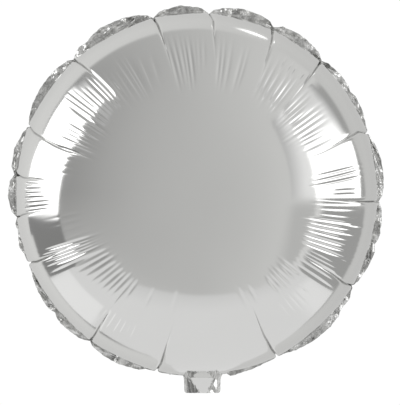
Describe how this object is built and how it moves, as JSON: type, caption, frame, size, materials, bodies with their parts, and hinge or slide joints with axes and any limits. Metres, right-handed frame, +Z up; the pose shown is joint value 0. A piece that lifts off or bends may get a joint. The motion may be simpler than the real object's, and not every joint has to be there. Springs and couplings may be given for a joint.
{
  "type": "round foil balloon",
  "caption": "Round silver foil balloon, gas filled: two foil sheets welded at a gathered, scalloped rim, with a short flat filling neck and its valve film below.",
  "frame": {"origin": "middle of the gas chamber, in the plane of the rim weld", "axes": "+Z up, with the neck at the bottom; the front sheet faces -Y, and +X is to the right seen from the front"},
  "size_m": [0.3615, 0.2102, 0.3724],
  "materials": {
    "silver_foil": "mirror-bright metallised film, with fine radial creases",
    "welded_foil": "satin metallised film, crinkled by the heat weld",
    "clear_film": "thin translucent plastic film"
  },
  "bodies": {
    "root": {"front_panel": "silver_foil", "back_panel": "silver_foil", "rim_seam": "welded_foil", "neck_front": "silver_foil", "neck_back": "silver_foil", "neck_seam_left": "welded_foil", "neck_seam_right": "welded_foil", "valve_film": "clear_film"}
  },
  "joints": []
}
